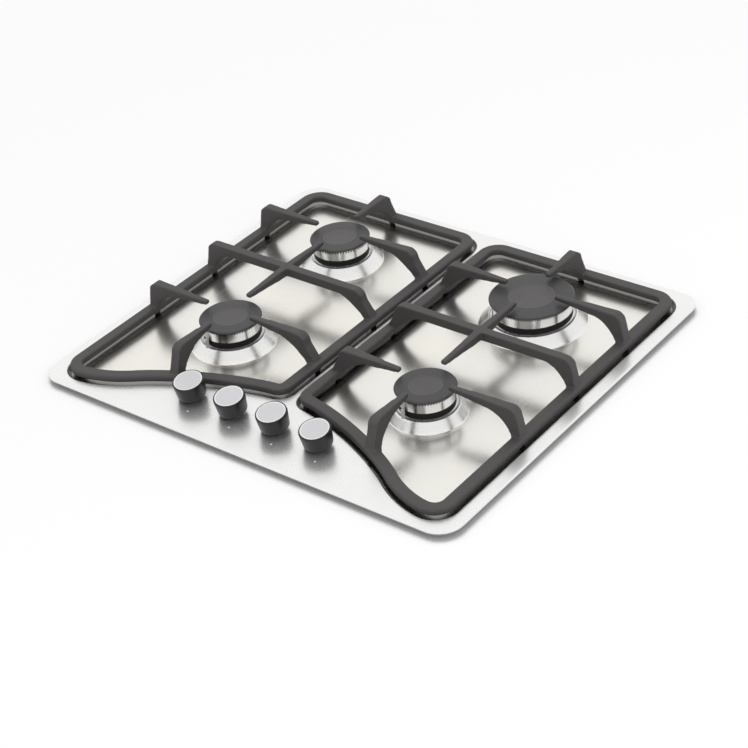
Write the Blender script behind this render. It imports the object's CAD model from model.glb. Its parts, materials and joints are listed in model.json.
"""A four-burner built-in gas cooktop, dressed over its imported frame.

Everything is in metres in the frame's own axes: +X to the right, -Y towards the user, +Z up,
with z = 0 at the casing's flat base. Each sub-assembly is a class that builds and dresses its pieces.
"""

from __future__ import annotations

import json
import logging
import math
from collections.abc import Callable, Iterable, Sequence
from dataclasses import dataclass, field, replace
from enum import Enum

import bmesh
import bpy
from mathutils import Matrix, Vector
from mathutils.geometry import interpolate_bezier

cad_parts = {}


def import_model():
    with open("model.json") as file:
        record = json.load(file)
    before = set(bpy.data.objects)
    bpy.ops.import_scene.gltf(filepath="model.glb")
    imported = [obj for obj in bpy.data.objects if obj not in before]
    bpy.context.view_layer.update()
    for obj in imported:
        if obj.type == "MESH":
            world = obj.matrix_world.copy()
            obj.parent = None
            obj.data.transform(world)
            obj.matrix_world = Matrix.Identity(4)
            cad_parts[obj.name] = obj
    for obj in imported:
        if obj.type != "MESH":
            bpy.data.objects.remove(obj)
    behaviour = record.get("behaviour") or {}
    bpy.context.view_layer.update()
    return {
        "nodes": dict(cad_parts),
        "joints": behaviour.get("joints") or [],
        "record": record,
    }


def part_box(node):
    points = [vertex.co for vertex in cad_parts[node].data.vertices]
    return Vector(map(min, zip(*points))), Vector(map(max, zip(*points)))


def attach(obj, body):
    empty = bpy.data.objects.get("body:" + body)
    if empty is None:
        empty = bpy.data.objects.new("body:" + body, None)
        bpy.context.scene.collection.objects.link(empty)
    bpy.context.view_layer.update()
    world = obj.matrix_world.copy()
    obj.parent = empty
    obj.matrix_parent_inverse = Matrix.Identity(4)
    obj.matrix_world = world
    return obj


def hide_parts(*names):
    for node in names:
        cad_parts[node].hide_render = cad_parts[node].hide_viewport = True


LOG = logging.getLogger("cooktop")
MM = 0.001
HOB = "hob"
Section = Sequence[tuple[float, float]]


class Slot(Enum):
    """Material slots of the record."""

    STEEL = "brushed_steel"
    GALVANISED = "galvanised_steel"
    IRON = "cast_iron"
    ENAMEL = "black_enamel"
    ALUMINIUM = "cast_aluminium"
    BRASS = "brass"
    PLASTIC = "black_plastic"
    SILVER = "satin_silver"
    CERAMIC = "ceramic"
    RUBBER = "foam_rubber"


class Side(Enum):
    """Which pan support, by the sign of its x."""

    LEFT = -1
    RIGHT = 1


@dataclass(frozen=True)
class Levels:
    """Heights of the plate's main surfaces."""

    worktop: float = 46 * MM
    border: float = 49 * MM
    well_floor: float = 44 * MM
    pressed_ring: float = 55.5 * MM
    neck_top: float = 63.5 * MM
    head_top: float = 76.2 * MM
    finger_top: float = 91 * MM
    sheet: float = 1 * MM


LEVELS = Levels()


@dataclass(frozen=True)
class BurnerPlace:
    """Where one burner stands, read from the frame."""

    name: str
    centre: Vector
    cap_radius: float
    plug: Vector

    @property
    def hole_radius(self) -> float:
        """Radius of the hole in the plate."""
        return self.cap_radius - 2.9 * MM

    @property
    def cone_run(self) -> float:
        """Horizontal run of the plate's cone round the burner, shorter round the smallest one."""
        return 7 * MM if self.cap_radius < 35.5 * MM else 11 * MM

    def ring_points(self, radius: float, count: int) -> list[Vector]:
        """Points of a circle about the burner's axis.

        Args:
            radius: the circle's radius.
            count: how many points.

        Returns:
            The points, in the plane z = 0.
        """
        return circle_points(self.centre, radius, count)


@dataclass(frozen=True)
class KnobPlace:
    """Where one knob turns, read from its joint."""

    name: str
    base: Vector
    axis: Vector

    @property
    def matrix(self) -> Matrix:
        """Places a shape that stands on z = 0 onto the plate, along the leaning axis."""
        turn = Vector((0, 0, 1)).rotation_difference(self.axis).to_matrix().to_4x4()
        return Matrix.Translation(self.base) @ turn


BURNERS = ("front_left", "back_left", "back_right", "front_right")


def middle(corners: tuple[Vector, Vector]) -> Vector:
    """The centre of a box given by two corners."""
    return (Vector(corners[0]) + Vector(corners[1])) / 2


def burner_places() -> list[BurnerPlace]:
    """Reads the burners' places from the frame.

    Returns:
        One place for each burner.
    """
    places = []
    for name in BURNERS:
        low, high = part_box(f"burner_cap_{name}")
        plug = middle(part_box(f"spark_plug_{name}"))
        places.append(BurnerPlace(name, middle((low, high)), (high[0] - low[0]) / 2, plug))
    return places


def knob_places(joints: list[dict]) -> list[KnobPlace]:
    """Reads the knobs' axes from the frame's joints.

    Args:
        joints: the frame's joints.

    Returns:
        One place for each knob.
    """
    turns = {joint["name"]: joint for joint in joints}
    return [
        KnobPlace(name, Vector(turns[f"knob_{name}_turn"]["pos_m"]), Vector(turns[f"knob_{name}_turn"]["axis"]))
        for name in BURNERS
    ]


# ---------------------------------------------------------------------------- outlines


def circle_points(centre: Vector, radius: float, count: int) -> list[Vector]:
    """Points of a horizontal circle.

    Args:
        centre: its centre; z is ignored.
        radius: its radius.
        count: how many points.

    Returns:
        The points, in the plane z = 0.
    """
    angles = (2 * math.pi * i / count for i in range(count))
    return [Vector((centre.x + radius * math.cos(a), centre.y + radius * math.sin(a), 0)) for a in angles]


def arc_points(centre: tuple[float, float], radius: float, start: float, end: float, count: int) -> list[Vector]:
    """Points of a horizontal arc.

    Args:
        centre: x and y of its centre.
        radius: its radius.
        start: first angle, in degrees.
        end: last angle, in degrees.
        count: how many points.

    Returns:
        The points, with both ends.
    """
    angles = [math.radians(start + (end - start) * i / (count - 1)) for i in range(count)]
    return [Vector((centre[0] + radius * math.cos(a), centre[1] + radius * math.sin(a), 0)) for a in angles]


@dataclass(frozen=True)
class Outline:
    """A closed counter-clockwise line in the plane z = 0."""

    points: tuple[Vector, ...]

    @classmethod
    def of(cls, points: Sequence[Vector]) -> "Outline":
        """Makes an outline without repeated points, turned counter-clockwise.

        Args:
            points: the closed line's points.

        Returns:
            The outline.
        """
        kept = [p for i, p in enumerate(points) if (p - points[i - 1]).length > 0.05 * MM]
        area = sum(kept[i - 1].x * p.y - p.x * kept[i - 1].y for i, p in enumerate(kept))
        return cls(tuple(kept if area > 0 else reversed(kept)))

    @classmethod
    def rounded_rectangle(cls, width: float, depth: float, radius: float, steps: int = 14) -> "Outline":
        """A rectangle about the origin with round corners.

        Args:
            width: its size along x.
            depth: its size along y.
            radius: its corners' radius.
            steps: points on each corner.

        Returns:
            The outline.
        """
        x, y = width / 2 - radius, depth / 2 - radius
        corners = [((x, y), 0), ((-x, y), 90), ((-x, -y), 180), ((x, -y), 270)]
        return cls.of([p for centre, start in corners for p in arc_points(centre, radius, start, start + 90, steps)])

    def offset(self, distance: float) -> "Outline":
        """Moves every side outwards.

        Args:
            distance: how far; negative moves inwards.

        Returns:
            An outline with as many points.
        """
        moved = []
        for i, point in enumerate(self.points):
            before = (point - self.points[i - 1]).normalized()
            after = (self.points[(i + 1) % len(self.points)] - point).normalized()
            sides = [Vector((d.y, -d.x, 0)) for d in (before, after)]
            mitre = (sides[0] + sides[1]).normalized()
            moved.append(point + mitre * (distance / mitre.dot(sides[0])))
        return Outline(tuple(moved))

    def mirrored(self) -> "Outline":
        """The outline mirrored across x = 0."""
        return Outline.of([Vector((-p.x, p.y, 0)) for p in self.points])


@dataclass(frozen=True)
class SupportLine:
    """Centre line of the right-hand pan support's bar."""

    inner_x: float = 15 * MM
    outer_x: float = 262.5 * MM
    back_y: float = 223.5 * MM
    front_y: float = -224 * MM
    inner_front_y: float = -140 * MM
    back_radius: float = 18 * MM
    front_radius: float = 17 * MM
    inner_front_radius: float = 10 * MM
    sweep: tuple[float, float] = (184 * MM, -201.5 * MM)
    sweep_angle: float = math.radians(-35)
    front_reach: float = 16 * MM
    corner_steps: int = 12
    curve_steps: int = 28

    def on_sweep(self, reach: float) -> Vector:
        """A point on the front side's steepest tangent."""
        x, y = self.sweep
        return Vector((x + reach * math.cos(self.sweep_angle), y + reach * math.sin(self.sweep_angle), 0))

    def outline(self, side: Side) -> Outline:
        """Follows the bar once round.

        Args:
            side: which pan support.

        Returns:
            The centre line.
        """
        back = self.back_y - self.back_radius
        front_corner = Vector((self.outer_x - self.front_radius, self.front_y, 0))
        inner_corner = Vector((self.inner_x + self.inner_front_radius, self.inner_front_y, 0))
        points = arc_points((self.inner_x + self.back_radius, back), self.back_radius, 180, 90, self.corner_steps)
        points += arc_points((self.outer_x - self.back_radius, back), self.back_radius, 90, 0, self.corner_steps)
        points += arc_points(
            (front_corner.x, self.front_y + self.front_radius), self.front_radius, 0, -90, self.corner_steps
        )
        points += interpolate_bezier(
            front_corner,
            front_corner - Vector((self.front_reach, 0, 0)),
            self.on_sweep(24 * MM),
            self.on_sweep(0),
            self.curve_steps,
        )
        points += interpolate_bezier(
            self.on_sweep(0),
            self.on_sweep(-42 * MM),
            inner_corner + Vector((52 * MM, -7 * MM, 0)),
            inner_corner,
            self.curve_steps,
        )
        centre = (inner_corner.x, self.inner_front_y + self.inner_front_radius)
        points += arc_points(centre, self.inner_front_radius, -90, -180, self.corner_steps)
        line = Outline.of([Vector(p) for p in points])
        return line if side is Side.RIGHT else line.mirrored()

    def y_at(self, x: float) -> float:
        """y of the front side at an x, on the right-hand support."""
        points = self.outline(Side.RIGHT).points
        spans = ((points[i - 1], p) for i, p in enumerate(points))
        crossing = (s for s in spans if (s[0].x - x) * (s[1].x - x) <= 0 and s[0].x != s[1].x and s[0].y < 0)
        a, b = next(crossing)
        return a.y + (b.y - a.y) * (x - a.x) / (b.x - a.x)


# ---------------------------------------------------------------------------- mesh tools


Ring = tuple[Sequence[Vector], float]


def loop(bm: bmesh.types.BMesh, points: Iterable[Vector], z: float) -> list[bmesh.types.BMEdge]:
    """Adds one closed loop of edges.

    Args:
        bm: the mesh being made.
        points: the loop's points.
        z: its height.

    Returns:
        Its edges.
    """
    return ring(bm, (list(points), z))[1]


def ring(bm: bmesh.types.BMesh, shape: Ring) -> tuple[list[bmesh.types.BMVert], list[bmesh.types.BMEdge]]:
    """Adds one closed ring.

    Args:
        bm: the mesh being made.
        shape: its points and its height.

    Returns:
        Its vertices and edges.
    """
    verts = [bm.verts.new((p.x, p.y, shape[1])) for p in shape[0]]
    return verts, [bm.edges.new((verts[i - 1], v)) for i, v in enumerate(verts)]


def loft(bm: bmesh.types.BMesh, rings: Sequence[Ring]) -> tuple[list[bmesh.types.BMEdge], list[bmesh.types.BMEdge]]:
    """Extrudes a first ring through all the others, which have as many points.

    Args:
        bm: the mesh being made.
        rings: the rings in order.

    Returns:
        The first ring's edges and the last ring's.
    """
    verts, edges = ring(bm, rings[0])
    first = edges
    for points, z in rings[1:]:
        grown = bmesh.ops.extrude_edge_only(bm, edges=edges)["geom"]
        new = {item for item in grown if isinstance(item, bmesh.types.BMVert)}
        verts = [next(e.other_vert(v) for e in v.link_edges if e.other_vert(v) in new) for v in verts]
        edges = [e for e in grown if isinstance(e, bmesh.types.BMEdge) and new.issuperset(e.verts)]
        for vert, point in zip(verts, points):
            vert.co = (point.x, point.y, z)
    return first, edges


def fill(bm: bmesh.types.BMesh, *loops: list[bmesh.types.BMEdge]) -> None:
    """Fills the flat region between loops."""
    edges = [edge for edges in loops for edge in edges]
    bmesh.ops.triangle_fill(bm, edges=edges, use_beauty=True, normal=(0, 0, 1))


def spun(profile: Section, steps: int = 96, close: bool = False) -> bmesh.types.BMesh:
    """Turns a profile about the z axis.

    Args:
        profile: pairs of radius and height.
        steps: sides of the round shape.
        close: whether the profile closes on itself.

    Returns:
        The new mesh.
    """
    bm = bmesh.new()
    verts = [bm.verts.new((radius, 0, z)) for radius, z in profile]
    edges = [bm.edges.new(pair) for pair in zip(verts, verts[1:])]
    if close:
        edges.append(bm.edges.new((verts[-1], verts[0])))
    bmesh.ops.spin(
        bm, geom=[*verts, *edges], cent=(0, 0, 0), axis=(0, 0, 1), angle=2 * math.pi, steps=steps, use_merge=True
    )
    bmesh.ops.remove_doubles(bm, verts=bm.verts, dist=0.002 * MM)
    bmesh.ops.recalc_face_normals(bm, faces=bm.faces)
    return bm


def rounded(profile: Section, radii: Sequence[float], steps: int = 4) -> list[tuple[float, float]]:
    """Rounds a profile's corners.

    Args:
        profile: pairs of radius and height.
        radii: how far from each corner its round starts; 0 keeps it sharp.
        steps: points on each round.

    Returns:
        The profile with its rounds.
    """
    points = [Vector(p) for p in profile]
    result: list[tuple[float, float]] = []
    for i, (point, reach) in enumerate(zip(points, radii)):
        if reach == 0 or i in (0, len(points) - 1):
            result.append(tuple(point))
            continue
        start = point + (points[i - 1] - point).normalized() * reach
        end = point + (points[i + 1] - point).normalized() * reach
        for step in range(steps + 1):
            t = step / steps
            result.append(tuple(start * (1 - t) ** 2 + point * 2 * t * (1 - t) + end * t**2))
    return result


def move(bm: bmesh.types.BMesh, matrix: Matrix) -> None:
    """Transforms a whole mesh."""
    bmesh.ops.transform(bm, matrix=matrix, verts=bm.verts)


@dataclass
class Piece:
    """One finished piece of the object."""

    name: str
    bm: bmesh.types.BMesh
    materials: Sequence[bpy.types.Material]
    slot: Slot
    body: str = HOB
    replaces: Sequence[str] = ()
    sharp_angle: float = 35.0
    smooth: bool = True

    def build(self) -> bpy.types.Object:
        """Writes the mesh into an object and tells the frame about it.

        Returns:
            The object.
        """
        limit = math.radians(self.sharp_angle)
        for face in self.bm.faces:
            face.smooth = self.smooth
        for edge in self.bm.edges:
            edge.smooth = len(edge.link_faces) == 2 and edge.calc_face_angle(0) < limit
        mesh = bpy.data.meshes.new(self.name)
        self.bm.to_mesh(mesh)
        self.bm.free()
        obj = bpy.data.objects.new(self.name, mesh)
        bpy.context.scene.collection.objects.link(obj)
        for material in self.materials:
            mesh.materials.append(material)
        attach(obj, self.body)
        if self.replaces:
            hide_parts(*self.replaces)
        LOG.info("%s: %d faces on %s", self.name, len(mesh.polygons), self.body)
        return obj


def finished_mesh(obj: bpy.types.Object) -> None:
    """Applies an object's modifiers to its mesh.

    Args:
        obj: the object, whose modifiers go.
    """
    graph = bpy.context.evaluated_depsgraph_get()
    mesh = bpy.data.meshes.new_from_object(obj.evaluated_get(graph))
    obj.modifiers.clear()
    obj.data = mesh


# ---------------------------------------------------------------------------- shader tools


class Shader:
    """A node tree with short ways to add and join nodes."""

    def __init__(self, tree: bpy.types.NodeTree) -> None:
        """Takes the tree to work on."""
        self.tree = tree

    def node(self, kind: str, **inputs: object) -> bpy.types.Node:
        """Adds a node.

        Args:
            kind: the node's type name.
            inputs: socket names, with _ for a space, and their values or the sockets that feed them.

        Returns:
            The node.
        """
        node = self.tree.nodes.new(kind)
        for name, value in inputs.items():
            self.feed(node.inputs[name.replace("_", " ")], value)
        return node

    def feed(self, socket: bpy.types.NodeSocket, value: object) -> None:
        """Links a socket to another, or sets its value."""
        if isinstance(value, bpy.types.NodeSocket):
            self.tree.links.new(value, socket)
        else:
            socket.default_value = value

    def math(self, operation: str, *values: object) -> bpy.types.NodeSocket:
        """Adds a Math node.

        Args:
            operation: its operation.
            values: its inputs in order.

        Returns:
            Its output.
        """
        node = self.tree.nodes.new("ShaderNodeMath")
        node.operation = operation
        for socket, value in zip(node.inputs, values):
            self.feed(socket, value)
        return node.outputs[0]

    def spread(self, value: object, low: float, high: float, to_low: float = 0, to_high: float = 1) -> bpy.types.NodeSocket:
        """Maps a range to another, held at its ends.

        Args:
            value: what is mapped.
            low: where the range starts.
            high: where it ends.
            to_low: the result at low.
            to_high: the result at high.

        Returns:
            The mapped value.
        """
        node = self.node(
            "ShaderNodeMapRange", Value=value, From_Min=low, From_Max=high, To_Min=to_low, To_Max=to_high
        )
        return node.outputs[0]

    def mix(self, factor: object, first: object, second: object) -> bpy.types.NodeSocket:
        """Mixes two colours.

        Args:
            factor: 0 gives the first, 1 the second.
            first: a colour or a socket.
            second: a colour or a socket.

        Returns:
            The mixed colour.
        """
        node = self.tree.nodes.new("ShaderNodeMix")
        node.data_type = "RGBA"
        self.feed(node.inputs["Factor"], factor)
        self.feed(node.inputs[6], first)
        self.feed(node.inputs[7], second)
        return node.outputs[2]

    def noise(self, vector: object, scale: float, detail: float = 2.0, rough: float = 0.5) -> bpy.types.NodeSocket:
        """Adds a noise texture.

        Args:
            vector: its coordinates.
            scale: features for each metre.
            detail: its octaves.
            rough: how strong the fine octaves are.

        Returns:
            A value from 0 to 1.
        """
        node = self.node("ShaderNodeTexNoise", Vector=vector, Scale=scale, Detail=detail, Roughness=rough)
        return node.outputs["Fac"]

    def stretched(self, vector: object, scale: tuple[float, float, float]) -> bpy.types.NodeSocket:
        """Scales coordinates by axis."""
        return self.node("ShaderNodeMapping", Vector=vector, Scale=scale).outputs[0]


def new_group(name: str, inputs: dict[str, float | tuple], outputs: Sequence[str]) -> tuple[Shader, dict, dict]:
    """Starts a shader node group.

    Args:
        name: its name.
        inputs: input names with default values; a tuple makes a vector.
        outputs: the names of its value outputs.

    Returns:
        Its shader tools, its inputs' sockets by name and its outputs' sockets by name.
    """
    tree = bpy.data.node_groups.new(name, "ShaderNodeTree")
    for key, value in inputs.items():
        kind = "NodeSocketVector" if isinstance(value, tuple) else "NodeSocketFloat"
        tree.interface.new_socket(key, in_out="INPUT", socket_type=kind).default_value = value
    for key in outputs:
        tree.interface.new_socket(key, in_out="OUTPUT", socket_type="NodeSocketFloat")
    source = tree.nodes.new("NodeGroupInput")
    target = tree.nodes.new("NodeGroupOutput")
    ins = {key: source.outputs[key] for key in inputs}
    outs = {key: target.inputs[key] for key in outputs}
    return Shader(tree), ins, outs


class Effects:
    """Shader groups that several finishes share."""

    def __init__(self) -> None:
        """Builds every group once."""
        self.grain = self._grain()
        self.brushing = self._brushing()
        self.turning = self._turning()
        self.smudges = self._smudges()

    @staticmethod
    def _grain() -> bpy.types.NodeTree:
        """Fine pitted grain of a cast or moulded surface, with broad mottling."""
        shader, ins, outs = new_group("grain", {"Coordinates": (0.0, 0.0, 0.0), "Size": 1.0}, ["Height", "Mottle"])
        scaled = shader.node("ShaderNodeVectorMath")
        scaled.operation = "SCALE"
        shader.feed(scaled.inputs[0], ins["Coordinates"])
        shader.feed(scaled.inputs["Scale"], shader.math("DIVIDE", 1.0, ins["Size"]))
        pits = shader.noise(scaled.outputs[0], 1400.0, 3.0, 0.6)
        lumps = shader.noise(scaled.outputs[0], 420.0, 2.0)
        shader.feed(outs["Height"], shader.math("ADD", shader.math("MULTIPLY", pits, 0.6), lumps))
        shader.feed(outs["Mottle"], shader.noise(scaled.outputs[0], 60.0, 4.0, 0.6))
        return shader.tree

    @staticmethod
    def _brushing() -> bpy.types.NodeTree:
        """Fine straight brushing lines along x."""
        shader, ins, outs = new_group("brushing", {"Coordinates": (0.0, 0.0, 0.0)}, ["Lines", "Bands"])
        fine = shader.stretched(ins["Coordinates"], (0.012, 1.0, 1.0))
        broad = shader.stretched(ins["Coordinates"], (0.06, 1.0, 1.0))
        shader.feed(outs["Lines"], shader.noise(fine, 2600.0, 3.0, 0.65))
        shader.feed(outs["Bands"], shader.noise(broad, 160.0, 2.0))
        return shader.tree

    @staticmethod
    def _turning() -> bpy.types.NodeTree:
        """Fine rings left by turning about a centre, and soft streaks that follow the direction from it."""
        shader, ins, outs = new_group(
            "turning", {"Coordinates": (0.0, 0.0, 0.0), "Centre": (0.0, 0.0, 0.0)}, ["Rings", "Radius", "Streaks"]
        )
        moved = shader.node("ShaderNodeVectorMath")
        moved.operation = "SUBTRACT"
        shader.feed(moved.inputs[0], ins["Coordinates"])
        shader.feed(moved.inputs[1], ins["Centre"])
        parts = shader.node("ShaderNodeSeparateXYZ", Vector=moved.outputs[0])
        x, y, z = parts.outputs
        radius = shader.math("SQRT", shader.math("ADD", shader.math("MULTIPLY", x, x), shader.math("MULTIPLY", y, y)))
        joined = shader.node("ShaderNodeCombineXYZ", X=radius, Y=z)
        shader.feed(outs["Rings"], shader.noise(joined.outputs[0], 2400.0, 3.0, 0.6))
        shader.feed(outs["Radius"], radius)
        outwards = shader.node("ShaderNodeVectorMath")
        outwards.operation = "NORMALIZE"
        shader.feed(outwards.inputs[0], shader.node("ShaderNodeCombineXYZ", X=x, Y=y).outputs[0])
        shader.feed(outs["Streaks"], shader.noise(outwards.outputs[0], 1.7, 1.0, 0.5))
        return shader.tree

    @staticmethod
    def _smudges() -> bpy.types.NodeTree:
        """Broad cloudy patches, as from wiping."""
        shader, ins, outs = new_group("smudges", {"Coordinates": (0.0, 0.0, 0.0), "Size": 1.0}, ["Clouds", "Streaks"])
        scaled = shader.node("ShaderNodeVectorMath")
        scaled.operation = "SCALE"
        shader.feed(scaled.inputs[0], ins["Coordinates"])
        shader.feed(scaled.inputs["Scale"], shader.math("DIVIDE", 1.0, ins["Size"]))
        shader.feed(outs["Clouds"], shader.noise(scaled.outputs[0], 9.0, 3.0, 0.55))
        slanted = shader.stretched(scaled.outputs[0], (1.0, 0.35, 1.0))
        shader.feed(outs["Streaks"], shader.noise(slanted, 38.0, 4.0, 0.6))
        return shader.tree

    def place(self, shader: Shader, group: bpy.types.NodeTree, **inputs: object) -> bpy.types.Node:
        """Places a group in a material.

        Args:
            shader: the material's shader tools.
            group: the group.
            inputs: its inputs' values or sockets.

        Returns:
            The group's node.
        """
        node = shader.tree.nodes.new("ShaderNodeGroup")
        node.node_tree = group
        for name, value in inputs.items():
            shader.feed(node.inputs[name], value)
        return node


@dataclass(frozen=True)
class Finish:
    """A procedural finish, made into a material for each place that needs its own centre."""

    name: str
    color: tuple[float, float, float]
    roughness: float
    metallic: float = 0.0

    def start(self) -> tuple[Shader, bpy.types.Node, bpy.types.NodeSocket]:
        """Starts the material.

        Returns:
            Its shader tools, its Principled shader and the object coordinates.
        """
        material = bpy.data.materials.new(self.name)
        material.use_nodes = True
        shader = Shader(material.node_tree)
        principled = material.node_tree.nodes["Principled BSDF"]
        principled.inputs["Base Color"].default_value = (*self.color, 1)
        principled.inputs["Roughness"].default_value = self.roughness
        principled.inputs["Metallic"].default_value = self.metallic
        coordinates = shader.node("ShaderNodeTexCoord").outputs["Object"]
        return shader, principled, coordinates

    def shade(self, factor: float) -> tuple[float, float, float, float]:
        """The finish's colour made lighter or darker by a factor."""
        return (*(c * factor for c in self.color), 1.0)

    def bump(self, shader: Shader, principled: bpy.types.Node, height: object, depth: float, strength: float) -> None:
        """Adds a bump.

        Args:
            shader: the material's shader tools.
            principled: its Principled shader.
            height: what the bump follows.
            depth: how deep it is, in metres.
            strength: how much of it shows.
        """
        node = shader.node("ShaderNodeBump", Height=height, Distance=depth, Strength=strength)
        shader.feed(principled.inputs["Normal"], node.outputs[0])

    def material(self, effects: Effects) -> bpy.types.Material:
        """Makes the material.

        Args:
            effects: the shared shader groups.

        Returns:
            The material.
        """
        raise NotImplementedError


@dataclass(frozen=True)
class PlateSteel(Finish):
    """Brushed stainless steel, warmer and cloudier inside the wells than on the border."""

    well_color: tuple[float, float, float] = (0.88, 0.86, 0.785)
    well_roughness: float = 0.25
    border_metal: float = 0.8

    def material(self, effects: Effects) -> bpy.types.Material:
        """Makes the material.

        Args:
            effects: the shared shader groups.

        Returns:
            The material.
        """
        shader, principled, coordinates = self.start()
        brushing = effects.place(shader, effects.brushing, Coordinates=coordinates)
        smudges = effects.place(shader, effects.smudges, Coordinates=coordinates, Size=1.0)
        height = shader.node("ShaderNodeSeparateXYZ", Vector=coordinates).outputs["Z"]
        sunken = shader.spread(height, LEVELS.border - 0.2 * MM, LEVELS.well_floor + 0.3 * MM)
        clouds = shader.spread(smudges.outputs["Clouds"], 0.36, 0.66)
        cool = (self.well_color[0] * 0.98, self.well_color[1] * 0.985, self.well_color[2] * 1.03, 1)
        well = shader.mix(clouds, (*self.well_color, 1), cool)
        border = shader.mix(smudges.outputs["Streaks"], self.shade(1.0), self.shade(0.955))
        base = shader.mix(sunken, border, well)
        lined = shader.mix(shader.spread(brushing.outputs["Lines"], 0.3, 0.7), base, self.shade(0.82))
        bands = shader.spread(brushing.outputs["Bands"], 0.35, 0.65, 0, 0.15)
        shader.feed(principled.inputs["Base Color"], shader.mix(bands, base, lined))
        worn = shader.spread(smudges.outputs["Streaks"], 0.3, 0.75, -0.02, 0.03)
        lines = shader.math("MULTIPLY", shader.math("SUBTRACT", brushing.outputs["Lines"], 0.5), 0.04)
        shader.feed(principled.inputs["Metallic"], shader.spread(sunken, 0, 1, self.border_metal, self.metallic))
        depth = shader.spread(sunken, 0, 1, self.roughness, self.well_roughness)
        shader.feed(principled.inputs["Roughness"], shader.math("ADD", shader.math("ADD", worn, lines), depth))
        self.bump(shader, principled, brushing.outputs["Lines"], 0.004 * MM, 0.2)
        return bpy.data.materials[self.name]


@dataclass(frozen=True)
class GrainFinish(Finish):
    """Cast iron, enamel, moulded plastic or rubber: grain, mottling and slightly lighter edges."""

    size: float = 1.0
    depth: float = 0.04 * MM
    strength: float = 0.5
    mottle: float = 0.12
    edge: float = 0.0
    coat: float = 0.0
    shine: float = 0.5

    def toned(self, shader: Shader, effects: Effects, coordinates: object, color: object) -> object:
        """The surface's colour with any broad change of tone; plain here."""
        return color

    def material(self, effects: Effects) -> bpy.types.Material:
        """Makes the material.

        Args:
            effects: the shared shader groups.

        Returns:
            The material.
        """
        shader, principled, coordinates = self.start()
        grain = effects.place(shader, effects.grain, Coordinates=coordinates, Size=self.size)
        mottle = shader.spread(grain.outputs["Mottle"], 0.3, 0.7)
        color = shader.mix(mottle, self.shade(1 - self.mottle), self.shade(1 + self.mottle))
        if self.edge:
            pointed = shader.node("ShaderNodeNewGeometry").outputs["Pointiness"]
            color = shader.mix(shader.spread(pointed, 0.52, 0.62), color, self.shade(1 + self.edge))
        shader.feed(principled.inputs["Base Color"], self.toned(shader, effects, coordinates, color))
        rough = shader.spread(grain.outputs["Mottle"], 0.3, 0.7, self.roughness - 0.05, self.roughness + 0.06)
        shader.feed(principled.inputs["Roughness"], rough)
        principled.inputs["Coat Weight"].default_value = self.coat
        principled.inputs["Specular IOR Level"].default_value = self.shine
        self.bump(shader, principled, grain.outputs["Height"], self.depth, self.strength)
        return bpy.data.materials[self.name]


@dataclass(frozen=True)
class CapFinish(GrainFinish):
    """Enamel of a burner's cap, lighter inside its dish and with a light line round it."""

    centre: tuple[float, float, float] = (0.0, 0.0, 0.0)
    dish: float = 0.0
    dish_color: tuple[float, float, float] = (0.068, 0.063, 0.063)

    def toned(self, shader: Shader, effects: Effects, coordinates: object, color: object) -> object:
        """The enamel's colour, with the dish's own colour inside it.

        Args:
            shader: the material's shader tools.
            effects: the shared shader groups.
            coordinates: the object coordinates.
            color: the enamel's colour.

        Returns:
            The toned colour.
        """
        turning = effects.place(shader, effects.turning, Coordinates=coordinates, Centre=self.centre)
        radius = turning.outputs["Radius"]
        inside = shader.spread(radius, self.dish + 0.2 * MM, self.dish - 0.6 * MM)
        near = shader.math("ABSOLUTE", shader.math("SUBTRACT", radius, self.dish + 0.4 * MM))
        line = shader.spread(near, 0.9 * MM, 0.2 * MM, 0, 0.6)
        dished = shader.mix(inside, color, (*self.dish_color, 1))
        return shader.mix(line, dished, tuple(1.9 * c for c in self.dish_color) + (1.0,))


@dataclass(frozen=True)
class TurnedFinish(Finish):
    """Metal turned on a lathe about one centre."""

    centre: tuple[float, float, float] = (0.0, 0.0, 0.0)
    strength: float = 0.3
    fade: float = 0.06
    streaks: float = 0.0

    def material(self, effects: Effects) -> bpy.types.Material:
        """Makes the material.

        Args:
            effects: the shared shader groups.

        Returns:
            The material.
        """
        shader, principled, coordinates = self.start()
        turning = effects.place(shader, effects.turning, Coordinates=coordinates, Centre=self.centre)
        smudges = effects.place(shader, effects.smudges, Coordinates=coordinates, Size=0.3)
        rings = turning.outputs["Rings"]
        dull = shader.mix(shader.spread(rings, 0.3, 0.7), self.shade(1 - self.fade), self.shade(1 + self.fade / 2))
        stained = shader.mix(shader.spread(smudges.outputs["Clouds"], 0.4, 0.7), dull, self.shade(1 - 2 * self.fade))
        if self.streaks:
            streak = shader.spread(turning.outputs["Streaks"], 0.4, 0.52, self.streaks, 0)
            stained = shader.mix(streak, stained, self.shade(0.25))
        shader.feed(principled.inputs["Base Color"], stained)
        rough = shader.spread(rings, 0.3, 0.7, self.roughness - 0.04, self.roughness + 0.08)
        shader.feed(principled.inputs["Roughness"], rough)
        self.bump(shader, principled, rings, 0.01 * MM, self.strength)
        return bpy.data.materials[self.name]


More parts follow.
